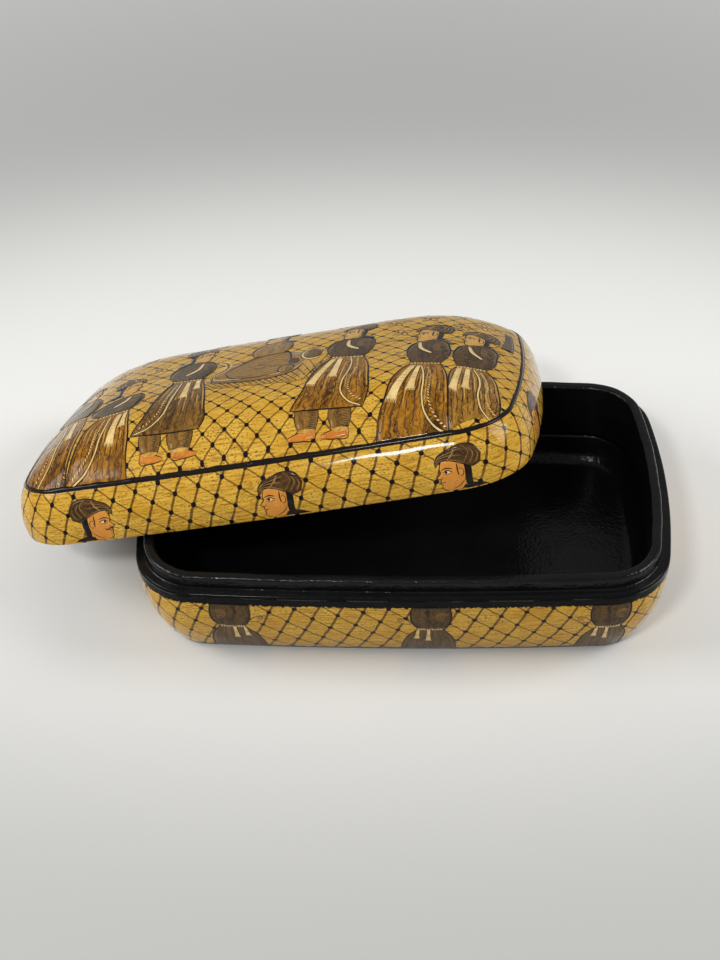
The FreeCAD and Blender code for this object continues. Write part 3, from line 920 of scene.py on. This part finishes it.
def drawHead(figure, skin, turban, layer, moustache=False, fine=1.0, plume=False):
    def stroke(points, thick, paint, up, count, ends=0.35):
        width = face["line"] * fine * thick * abs(figure.scale[1])
        figure.line(points, width, paint, layer + up, count, ends)

    neckLeft = [(-0.20, 0.10), (-0.19, -0.06), (-0.24, -0.22)]
    neckRight = [(0.17, 0.30), (0.19, 0.02), (0.26, -0.22)]
    figure.fill(neckLeft, neckRight, skin, layer, 8, 5)
    figure.fill([(-0.02, 0.78), (0.10, 0.5), (0.16, 0.2), (0.15, -0.02)],        # the hair
                [(0.30, 0.80), (0.33, 0.5), (0.31, 0.2), (0.34, -0.06)], "ink", layer + 1, 12, 4)
    figure.fill([(0.12, 0.10), (0.06, 0.0), (-0.02, -0.12)],
                [(0.34, 0.12), (0.56, 0.03), (0.66, -0.12)], "ink", layer + 1, 6, 5)
    figure.fill(face["front"], face["back"], skin, layer + 2, 44, 9)
    stroke(face["front"], 1, "ink", 3, 44, 0.7)
    x, y = face["eye"]
    figure.dab((x, y), 0.17, 0.075, "eye", layer + 3, -0.06, 9, 4)
    figure.dab((x - 0.03, y + 0.004), 0.062, 0.066, "ink", layer + 4, 0, 8, 4)
    stroke([(x - 0.105, y - 0.005), (x - 0.02, y + 0.05), (x + 0.115, y - 0.01)], 1.15, "ink", 5, 9)
    stroke([(x - 0.08, y - 0.03), (x, y - 0.045), (x + 0.09, y - 0.02)], 0.6, "shade", 5, 8)
    stroke(face["brow"], 1.3, "ink", 5, 10)
    stroke([(-0.385, 0.335), (-0.345, 0.355), (-0.34, 0.39)], 0.8, "shade", 4, 6)      # nostril
    stroke([(-0.40, 0.246), (-0.34, 0.240), (-0.285, 0.255)], 0.9, "ink", 4, 6)        # mouth
    figure.dab((-0.355, 0.222), 0.08, 0.03, "slipper", layer + 3, 0, 6, 3)
    figure.dab(face["ear"], 0.12, 0.20, skin, layer + 4, 0.1, 9, 4)
    earLine = face["line"] * fine * 0.8 * abs(figure.scale[1])
    figure.ring(face["ear"], 0.12, 0.20, earLine, "ink", layer + 5, -1.9, 2.2)
    stroke([(0.02, 0.70), (0.015, 0.52), (0.03, 0.38)], 1.6, "ink", 5, 8)
    stroke([(0.15, 0.25), (0.02, 0.10), (-0.14, 0.025)], 0.8, "shade", 4, 8)
    if moustache:
        stroke([(-0.42, 0.31), (-0.34, 0.305), (-0.26, 0.27), (-0.20, 0.30)], 1.6, "ink", 5, 9)
    # the turban: a low roll from the brow to a full wound back
    low = [(-0.47, 0.66), (-0.34, 0.79), (-0.08, 0.77), (0.16, 0.66), (0.36, 0.57), (0.55, 0.64)]
    high = [(-0.48, 0.76), (-0.40, 0.92), (-0.16, 1.05), (0.16, 1.15), (0.46, 1.09), (0.60, 0.84)]
    figure.fill(high, low, turban, layer + 6, 26, 9)
    for k in range(5):           # folds of the roll along the brow
        w = 0.25 + 0.16 * k
        path = [between(high[i], low[i], w + 0.06 * math.sin(i * 1.3 + k)) for i in range(4)]
        stroke(path, 0.8, "ink" if k % 2 else "cushion", 7, 14)
    for k in range(6):           # and of the windings behind it
        w = k / 5
        top, foot = between(high[3], high[5], w * 0.96 + 0.02), between(low[3], low[5], w * 0.9)
        bow = between(top, foot, 0.45) + np.array([0.13 * (1 - w) + 0.02, 0.05])
        stroke([top, bow, foot], 0.8, "ink" if k % 2 else "cushion", 7, 12)
    stroke(high, 1, "ink", 7, 24, 0.8)
    stroke(low, 1, "ink", 7, 24, 0.8)
    stroke([(-0.20, 0.78), (-0.06, 0.93), (0.02, 1.08)], 2.2, "cushion", 8, 10)
    if plume:
        stroke([(-0.12, 0.98), (-0.16, 1.16), (-0.06, 1.26)], 3.4, "ink", 8, 8)


# Two gathered trouser legs, each with a cuff and a pointed slipper.
def drawLegs(figure, spec, tone, layer=0):
    bulge, down, rise = np.array([0.5, 0]), np.array([0.0, -2.0]), np.array([0.0, 0.8])
    legs = zip(spec["hips"], spec["ankles"], spec["toes"])
    for (left, right), (cuffLeft, cuffRight), toe in legs:
        edges = ([left, between(left, cuffLeft, 0.5) - bulge, cuffLeft],
                 [right, between(right, cuffRight, 0.5) + bulge, cuffRight])
        figure.fill(*edges, tone, layer, 12, 6)
        for k in range(11):
            t = (k + 0.6) / 11.5
            a, b = between(left, cuffLeft, t), between(right, cuffRight, t)
            inner = between(a, b, 0.30 + 0.1 * (k % 3))
            gather = [between(b, a, 0.02), between(b, inner, 0.7) - (0, 0.25)]
            figure.line(gather, 0.22, "ink", layer + 1, 4)
        for edge in edges:
            figure.line(edge, 0.34, "ink", layer + 1)
        heel, tip = np.array(toe)
        middle = between(heel, tip, 0.5)
        sole = [heel + down, middle + down * 0.92, tip - (0, 0.9)]
        upper = [heel + rise, middle + rise * 0.9]
        figure.fill([*upper, tip + (0, 0.1)], sole, "slipper", layer, 10, 4)
        figure.line([heel + rise, *sole], 0.26, "ink", layer + 1)
        figure.line([*upper, tip], 0.26, "ink", layer + 1)
        cuff = between(cuffLeft, cuffRight, 0.5) - (0, 0.4)
        figure.dab(cuff, abs(cuffRight[0] - cuffLeft[0]) * 0.95, 1.3, "glow", layer + 2)


# Where each figure stands on the lid's top, in plan: the edges of its robe from the waist
# down and of its bodice from the waist up, the cream front edge and the row of beads.
standing = {
    "courtierFarLeft": {
        "left": [(-84.4, -10.5), (-88.4, -16), (-90.8, -28), (-91.8, -40), (-94.0, -52)],
        "right": [(-70.4, -18.6), (-69, -30.4), (-69.7, -44.8), (-72.4, -62)],
        "panel": [(-80.6, -14.5), (-78.5, -27.4), (-78.3, -38.4), (-79.5, -47.7), (-83.5, -52.8)],
        "beads": [(-82.2, -16), (-80.7, -26.9), (-80.6, -38), (-82, -45.7), (-85.2, -50.8)],
        "sashes": [((-77.4, -15.5), (-75, -16.8), (-75.9, -32.8), (-72.6, -34.1))],
        "bodyLeft": [(-84.4, -10), (-88.2, -5.5), (-87.2, -1), (-83.2, 2.4), (-79.4, 4.5)],
        "bodyRight": [(-70.4, -18), (-67.8, -12), (-68, -5), (-70.4, 0.3), (-74.5, 3.6)],
        "collar": [(-74.2, 2.2), (-75.2, -3), (-78.4, -7.4)],
        "head": (-77.5, 3.4), "size": (11.5, 14), "flip": True, "tone": "robeGold", "layer": 0,
    },
    "courtierLeft": {
        "left": [(-62.3, -27.2), (-66.1, -33.6), (-68, -44.7), (-70.1, -53), (-71.3, -56.5)],
        "right": [(-50.1, -26.6), (-48.4, -35.4), (-47, -44.1), (-47.2, -51.6), (-47.1, -57.3)],
        "panel": [(-56.8, -29), (-57.3, -36.4), (-58.4, -43.1), (-59.7, -48.9), (-63.1, -53.7),
                  (-68.6, -56.4)],
        "beads": [(-59, -30), (-59.7, -37.3), (-60.8, -43.6), (-62.1, -48.3), (-65.2, -52.3),
                  (-69.1, -55.2)],
        "sashes": [((-54.4, -28.5), (-52.2, -28.5), (-55.8, -45.5), (-52.4, -46)),
                   ((-51.8, -28), (-50.4, -27.6), (-51.7, -38.3), (-49.3, -37.7))],
        "bodyLeft": [(-62.4, -26.6), (-66.6, -22.6), (-68.4, -18), (-64, -13.2), (-59.4, -10.6)],
        "bodyRight": [(-50.2, -26), (-47.9, -21), (-47.2, -15), (-49, -10.6), (-53.5, -9.2)],
        "collar": [(-53.6, -11), (-54.6, -15), (-58.4, -19.4)],
        "hand": (-44.6, -17.5),
        "head": (-57.4, -7), "size": (12.5, 15.5), "flip": True, "tone": "robeGold", "layer": 1,
    },
    "courtierFarRight": {
        "left": [(74.4, -21.6), (72.7, -26.2), (72.2, -33.4), (72.4, -44.7), (72.1, -56.2)],
        "right": [(84.4, -19.6), (87.2, -24.8), (89, -34.2), (89.7, -42.3), (89.3, -47.4)],
        "panel": [(80.2, -21.8), (82.2, -27.3), (82.8, -32.4), (82.5, -42.5), (83.7, -47.8),
                  (86.1, -50.6)],
        "beads": [(82.3, -22.3), (84.5, -27.5), (85.3, -32.3), (85.1, -41.4), (86.2, -45.7),
                  (88.2, -48.4)],
        "sashes": [((74.4, -22.5), (76.4, -22.1), (72.6, -39.3), (75.4, -40.7)),
                   ((77.4, -21.8), (79.2, -21.4), (76.9, -37.3), (79.4, -37.9))],
        "bodyLeft": [(74.6, -21.4), (73.6, -18), (72.4, -12), (72.9, -5.2), (74.6, -0.3),
                     (77.4, 1.6)],
        "bodyRight": [(84.4, -19.2), (86.4, -14.5), (87.4, -4.7), (86.8, 2.6), (84, 4.8),
                      (80.5, 3.6)],
        "collar": [(77.4, 0.2), (78.9, -5.5), (82.4, -10)],
        "hand": (71.6, -14.5),
        "head": (80.2, 1.4), "size": (12.4, 16.4), "flip": False, "tone": "robePale", "layer": 0,
    },
    "courtierRight": {
        "left": [(57.9, -21.9), (55.1, -26.9), (52.4, -33.4), (49.9, -44.6), (47.5, -51.6),
                 (46, -57.5)],
        "right": [(68.6, -20.9), (70.9, -28.2), (71.9, -34.6), (72.4, -44.7), (72, -56.5)],
        "panel": [(62, -23.9), (63.3, -31.4), (63.6, -37.2), (63.3, -45.2), (64.0, -50.6),
                  (66.8, -54.4), (71.5, -56.6)],
        "beads": [(64.3, -24.8), (65.8, -31.3), (65.9, -37.2), (65.5, -44), (66.2, -49.2),
                  (68.4, -53.0), (71.8, -55.6)],
        "sashes": [((58, -23.9), (60.3, -23.7), (50.6, -44.5), (54.2, -45.4)),
                   ((60.5, -24.1), (62, -24.1), (57.6, -40.8), (60.6, -41.2))],
        "bodyLeft": [(57.9, -21.6), (57.2, -18), (55.7, -12.1), (55.5, -4.3), (57.4, 0.4),
                     (60.4, 2.6)],
        "bodyRight": [(68.6, -20.6), (69.6, -17.6), (71.1, -12), (70.8, -3.8), (68.4, 3),
                      (65, 4.4)],
        "collar": [(59.2, 1.2), (60.4, -5.8), (64.4, -10.8)],
        "hand": (53.2, -11.5),
        "head": (63, 2), "size": (13.4, 18.2), "flip": False, "tone": "robeGold", "layer": 1,
    },
}
bearers = {
    "bearerLeft": {
        "left": [(-37.4, -5), (-39.3, -14), (-40.7, -23.7), (-42.5, -35.8), (-46, -44.5)],
        "right": [(-25.1, -7), (-21.5, -20), (-18.8, -34.2), (-17.8, -42.8), (-19.2, -46)],
        "hem": [(-46, -44.6), (-33, -45.6), (-19.2, -46)],
        "panel": [(-33.4, -7.5), (-33.4, -17), (-33.8, -28.1), (-34.9, -36.5), (-39.5, -42.2),
                  (-44.6, -44.1)],
        "beads": [(-35, -8), (-35.6, -18), (-36.1, -27.3), (-37.3, -34.9), (-40.5, -40),
                  (-43.9, -42.2)],
        "sashes": [((-31.4, -8), (-29.6, -8), (-30.7, -23.8), (-27.7, -23.6)),
                   ((-27.6, -7.4), (-25.8, -7.2), (-26.8, -16.6), (-24.2, -16.4))],
        "bodyLeft": [(-37.4, -4.8), (-40.6, 1.5), (-41.2, 7.5), (-38.4, 12.6), (-34.4, 14.8)],
        "bodyRight": [(-25.1, -6.6), (-22.8, 0.5), (-22.9, 7.5), (-25.2, 12.4), (-29.4, 14.6)],
        "collar": [(-29.2, 12.6), (-29.8, 6), (-33.6, 0.6)],
        "head": (-32.2, 14.6), "size": (12.5, 16), "flip": True, "tone": "robeGrey", "layer": 3,
        "hips": [[(-42.3, -44.6), (-34, -45.2)], [(-31.4, -45.3), (-21.6, -45.1)]],
        "ankles": [[(-41.5, -51.2), (-34.7, -51.8)], [(-30.3, -51.6), (-22.5, -51.7)]],
        "toes": [[(-41.8, -52), (-32.8, -53.3)], [(-29.7, -52), (-20, -53.3)]],
    },
    "bearerRight": {
        "left": [(26.1, -5.2), (22.8, -12), (20.3, -22.1), (18.3, -36.4), (15.1, -45)],
        "right": [(39, -9), (41.6, -18), (43, -28.7), (43.5, -41.7), (42, -46.6)],
        "hem": [(15.1, -45.1), (25.7, -45.6), (42, -46.6)],
        "panel": [(33.8, -8.2), (34.9, -14), (34.9, -22.4), (33.4, -32.1), (33.7, -38.8),
                  (36.8, -43.7), (41.1, -46)],
        "beads": [(36.6, -9.2), (37.4, -16), (37.4, -23.2), (36, -31.3), (36.3, -37.3),
                  (38.8, -41.8), (42.2, -44.1)],
        "sashes": [((26.1, -6.8), (28.4, -7), (19.7, -29.1), (23.1, -30.7)),
                   ((28.8, -7.2), (30.8, -7.8), (27.4, -25), (30.7, -26.2))],
        "bodyLeft": [(26.1, -5), (23.6, 1), (22.7, 6.8), (24.4, 11.5), (28, 14.2)],
        "bodyRight": [(39, -8.8), (41, -2), (41.4, 4.5), (40.2, 11), (36, 13.8)],
        "collar": [(30.4, 12.4), (31.2, 5.6), (35.6, 0.4)],
        "head": (32.4, 14.2), "size": (12.5, 16), "flip": False, "tone": "robeGold", "layer": 3,
        "hips": [[(17.2, -45.1), (25.8, -45.6)], [(29.5, -46), (37.8, -46.4)]],
        "ankles": [[(17.8, -51.7), (24.7, -52.2)], [(30.3, -52.2), (36.5, -52.6)]],
        "toes": [[(24.5, -52.4), (14.3, -53.7)], [(36.5, -52.7), (26.5, -53.9)]],
    },
}
traveller = {                # seated on the cushions
    "bodyLeft": [(-7.5, 9.5), (-9.4, 14), (-9.0, 19), (-6.0, 23.5), (-3.0, 25)],
    "bodyRight": [(4.5, 10.5), (6.4, 15), (6.2, 20), (4.0, 24), (1.4, 25.2)],
    "bodice": "cushion",
    "head": (-1.2, 24.6), "size": (12.5, 15), "flip": False,
}
bandHeads = {                # places round the side, and which way each looks
    "places": (-61.6, 8.7, 72.8, 126.0, 214.0, 290.0, 364.0, 436.0),
    "turned": (True, False, False, False, False, True, False, True),
    "chin": 1.0,
    "size": (15.6, 13.7),
}
baseTorsos = {               # drawn about s = 0, looking left
    "left": [(-4.8, 19.4), (-8.8, 13), (-10.4, 7), (-11.2, 0.8)],
    "right": [(4.4, 19.4), (7.8, 13), (8.8, 7), (9.2, 0.8)],
    "sashes": [((-5.2, 18.4), (-4.0, 18.4), (-6.2, 12.4), (-4.2, 12.2)),
               ((-1.4, 18.6), (-0.2, 18.6), (-2.0, 10.6), (0.0, 10.4))],
    "bodyLeft": [(-4.8, 19.8), (-6.6, 23.4), (-7.2, 27.4), (-6.8, 31.6)],
    "bodyRight": [(4.8, 19.8), (6.9, 23.4), (7.4, 27.4), (7.0, 31.6)],
    "hand": (-9.4, 24.2),
    "belt": 1.5,
    "tone": "skirt",
    "places": (-61.0, 11.0, 75.0, 128.0, 218.0, 290.0, 362.0, 436.0),
    "turned": (True, False, False, False, False, True, False, True),
}


def layOnLid(name, figure, surface=onLidTop):
    layOn(name, figure, surface, lidToRow, "lid")


def addHead(figure, spec, turban, plume=False):
    head = Figure(spec["head"], spec["size"], spec["flip"])
    drawHead(head, "skinPale", turban, 9, fine=1.1, plume=plume)
    figure.coats += head.coats


def makePeople(people, bodiceLayer):
    for name, spec in people.items():
        figure = Figure()
        if "hips" in spec:
            drawLegs(figure, spec, "trouser")
        drawRobe(figure, spec, spec["layer"])
        addHead(figure, spec, "bodice")
        drawBodice(figure, spec, bodiceLayer)
        layOnLid(name, figure)


# The black line inside the crease, over the hems of the robes: the crease moved inward.
def makeCreaseLine():
    s = np.linspace(0, girth, 721)
    turn = 2 * math.pi * s / girth
    edge = np.stack(planAt(s, creaseEdge), 1)
    inward = np.stack(planAt(s, 6), 1) - np.stack(planAt(s, 5), 1)
    stray = (0.10 * np.sin(37 * turn) + 0.06 * np.sin(90 * turn + 1))[:, None]
    figure = Figure()
    grid = np.stack([edge + inward * way for way in (0.05, 0.55, 1.1 + stray)], 1)
    figure.coats.append((grid, "ink", 16))
    layOnLid("creaseLine", figure)


def makePalanquin():
    figure = Figure()
    figure.fill([(-24.5, -7.0), (-23.4, -14.0), (-22.0, -19.4)],
                [(24.0, 1.5), (21.0, -12.0), (17.4, -24.6)], "mat", 0, 14, 24)
    for k in range(19):          # the lattice under the tray
        x = -24 + k * 2.5
        low, high = -19.4 - (x + 22) * 0.13, -10.5 - (x + 24) * 0.05 + max(0, x - 12)
        for lean in (4.0, -4.0):
            figure.line([(x - lean, low), (x + lean, high)], 0.40, "ink", 1, 4, 0.8)
    figure.line([(-22.0, -19.5), (-2, -22.4), (17.4, -24.9)], 0.4, "ink", 2)
    figure.line([(-22.2, -18.3), (-2, -21.2), (17.6, -23.7)], 0.25, "shade", 2)
    figure.line([(17.4, -24.9), (21.0, -12.0), (24.4, 1.8)], 0.35, "ink", 2)
    tray = [(-21.0, -6.0), (-20.5, -12.0), (-12, -16.2), (2, -17.2), (12.5, -13.0), (14.6, -6.0)]
    rise = [(-20.0, -2.0), (-17.0, 2.0), (-8, 6.5), (4, 9.5), (12, 7.0), (15.0, 0.0)]
    figure.fill(rise, tray, "cushion", 3, 26, 9)
    figure.line(tray, 1.2, "ink", 5)
    figure.line([between(a, b, 0.14) for a, b in zip(tray, rise)], 0.5, "cream", 5)
    pillow = [(-16.6, -5.0), (-13.0, -11.0), (-4.0, -13.8), (4.5, -12.2), (9.6, -7.5)]
    crest = [(-16.2, -2.5), (-10.0, 5.5), (-2.0, 11.5), (5.2, 11.0), (9.2, -1.0)]
    figure.fill(crest, pillow, "cushion", 6, 24, 10)
    figure.line(pillow, 1.1, "ink", 8)
    figure.line(crest, 1.0, "ink", 8)
    for w in np.arange(1, 10) / 10:
        figure.line([between(a, b, w) for a, b in zip(crest, pillow)], 0.22, "shade", 7, 18)
    figure.pad((8.4, -9.2), 6.4, 7.6, "cushion", 8, 0.75, 0.2)
    figure.pad((10.5, -2.2), 4.0, 6.0, "bodice", 8, 0.5, 0.3)
    figure.dab((17.2, 3.6), 7.4, 10.8, "skirt", 6, 0.15)
    figure.ring((17.2, 3.6), 8.4, 12.0, 0.7, "cream", 7, 1.6, 5.2, 0.15)
    figure.ring((17.2, 3.6), 9.8, 13.6, 0.35, "ink", 7, 1.5, 5.3, 0.15)
    for wide, paint in ((9.0, "cream"), (11.0, "ink"), (13.0, "cream")):
        figure.ring((-22.5, 3.0), wide, wide * 1.3, 0.4, paint, 4, -1.2, 1.3)
    addHead(figure, traveller, "cushion", plume=True)
    drawBodice(figure, traveller, 11)
    layOnLid("palanquin", figure)


meadow = {                   # the far ground: its line, and flowers and a post that stand on it
    "flowers": [(51.2, 14.5), (73.0, 22.5), (81.2, 28.4), (60.5, 32.0), (47.5, 27.0), (86.0, 14.0),
                (43.5, 41.0), (57.0, 45.0), (71.5, 41.0), (25.0, 38.5), (12.0, 45.0), (-14.0, 42.0),
                (-27.0, 36.0), (-44.0, 40.0), (-57.5, 33.5), (-71.0, 40.0), (-85.0, 30.0),
                (-48.0, 16.0), (-67.0, 22.5), (-89.0, 15.0), (-2.5, 49.5)],
    "petal": (2.0, 3.9),
    "post": ([(88.2, 9.0), (89.0, 20), (88.4, 31.5)], [(92.3, 9.4), (92.0, 20), (90.6, 31.5)]),
}


def makeMeadow():
    figure = Figure()
    for y, width in ((4.8, 0.42), (6.0, 0.2)):
        figure.line([(-50, y), (0, y + 0.3), (90, y - 0.4)], width, "shade", 0, 60, 0.8)
    for k, (x, y) in enumerate(meadow["flowers"]):
        for turn in range(4):
            lean = turn * math.pi / 2 + 0.5 + 0.35 * math.sin(2.3 * k)
            centre = (x - math.sin(lean) * 2.0, y + math.cos(lean) * 2.0)
            figure.pad(centre, *meadow["petal"], "glow", 0, 0.36, lean, 9, 4)
        figure.dab((x, y), 1.2, 1.2, "ink", 2, 0, 6, 3)
    figure.fill(*meadow["post"], "bodice", 1, 12, 5)
    for edge in meadow["post"]:
        figure.line(edge, 0.3, "ink", 2)
    layOnLid("meadow", figure)


def makeHeads():
    for k, (place, flip) in enumerate(zip(bandHeads["places"], bandHeads["turned"])):
        figure = Figure((place, bandHeads["chin"]), bandHeads["size"], flip)
        drawHead(figure, "skin", "turban", 2, moustache=k == 0)
        layOnLid(f"bandHead_{k + 1}", figure, onLidBand)


def makeTorsos():
    for k, (place, flip) in enumerate(zip(baseTorsos["places"], baseTorsos["turned"])):
        figure = Figure((place, 0), 1, flip)
        drawRobe(figure, baseTorsos, 1, 6)
        drawBodice(figure, baseTorsos, 10)
        layOn(f"baseTorso_{k + 1}", figure, onBaseWall, asItStands, "base")


makePeople(standing, 10)
makePeople(bearers, 11)
makePalanquin()
makeMeadow()
makeCreaseLine()
makeHeads()
makeTorsos()
print("figures painted")


studio = {
    # painted light on the floor: a pool of light round the box, dimmer far out, pale at the rear
    "floorLitPool": (0.80, 0.793, 0.761, 1),      # palest round the box
    "floorPaintedDim": (0.42, 0.417, 0.401, 1),
    "floorRear": (0.86, 0.860, 0.830, 1),
    "floorReach": (0.205, 0.55),     # metres to where the far and then the rear tone begins
    "floorMiddle": (-0.01, 0.085, 0),
    "floorStretch": (0.6, 1, 1),
    "floorSize": 6.0,
    "room": (0.95, 0.97, 1.0, 1),
    "roomPower": 0.36,
}
lamps = {                    # place, size and power; all look at the middle of the base
    "keyLight": ((-0.38, -0.94, 1.12), (0.22, 0.13), 6.5),
    "leftLight": ((-0.85, -0.1, 0.65), (0.5, 0.5), 6.0),
    "rightLight": ((0.85, 0.0, 0.65), (0.5, 0.5), 6.0),
}
camera = {
    "target": (-0.01785, 0.02036, 0.020),
    "distance": 0.62305,
    "elevation": 0.71,
    "yaw": -0.072,
    "roll": -0.0469,
    "focal": 1559.75,        # in pixels of the picture's long side
    "longSide": 960,
    "sensor": 36,
}


def addObject(name, data):
    made = bpy.data.objects.new(name, data)
    bpy.context.scene.collection.objects.link(made)
    return made


# The floor's tones are painted light: a pool of light round the box, dimmer further out and
# paler again at the rear. They blend by exp(-(distance / reach) ** 4), which has no edge.
def makeFloor():
    half = studio["floorSize"] / 2
    corners = [(-half, -half, 0), (half, -half, 0), (half, half, 0), (-half, half, 0)]
    mesh = bpy.data.meshes.new("floor")
    mesh.from_pydata(corners, [], [(0, 1, 2, 3)])
    paint = Paint("floorPaintedLight")
    place = paint.node("TexCoord", {}, {}, 3)
    aside = {0: place, 1: studio["floorMiddle"]}
    place = paint.node("VectorMath", {"operation": "SUBTRACT"}, aside)
    place = paint.stretch(place, studio["floorStretch"])
    away = paint.node("VectorMath", {"operation": "LENGTH"}, {0: place}, 1)
    near, rear = (((away / reach).maths("POWER", 4) * -1).maths("EXPONENT")
                  for reach in studio["floorReach"])
    # painted pool of light: the lit tone round the box, the dim tone further out
    colour = paint.blend(near, studio["floorPaintedDim"], studio["floorLitPool"])
    colour = paint.blend(rear, studio["floorRear"], colour)
    mesh.materials.append(paint.finish({"Roughness": 0.7}, {"Base Color": colour}))
    addObject("floor", mesh)


def makeRoom():
    world = bpy.data.worlds.new("room")
    bpy.context.scene.world = world
    world.use_nodes = True
    back = world.node_tree.nodes["Background"]
    back.inputs[0].default_value = studio["room"]
    back.inputs[1].default_value = studio["roomPower"]


def makeLamps():
    for name, (place, size, power) in lamps.items():
        lamp = bpy.data.lights.new(name, "AREA")
        lamp.shape = "RECTANGLE"
        lamp.size, lamp.size_y = size
        lamp.energy = power
        made = addObject(name, lamp)
        made.location = place
        made.rotation_euler = (-Vector(place)).to_track_quat("-Z", "Y").to_euler()


# The camera looks along the direction of its yaw and elevation, then rolls about it.
def makeCamera():
    rise, yaw, roll = camera["elevation"], camera["yaw"], camera["roll"]
    flat = math.cos(rise)
    ahead = np.array([math.sin(yaw) * flat, math.cos(yaw) * flat, -math.sin(rise)])
    level = np.array([math.cos(yaw), -math.sin(yaw), 0])
    up = np.cross(level, ahead)
    right = level * math.cos(roll) + up * math.sin(roll)
    top = -level * math.sin(roll) + up * math.cos(roll)
    place = np.array(camera["target"]) - ahead * camera["distance"]
    data = bpy.data.cameras.new("camera")
    data.lens = camera["focal"] * camera["sensor"] / camera["longSide"]
    data.clip_start = 0.01
    made = addObject("camera", data)
    columns = np.stack([right, top, -ahead, place], 1)
    made.matrix_world = Matrix([*columns.tolist(), [0, 0, 0, 1]])
    bpy.context.scene.camera = made


makeFloor()
makeRoom()
makeLamps()
makeCamera()
bpy.context.scene.view_settings.view_transform = "Standard"
print("stage made")
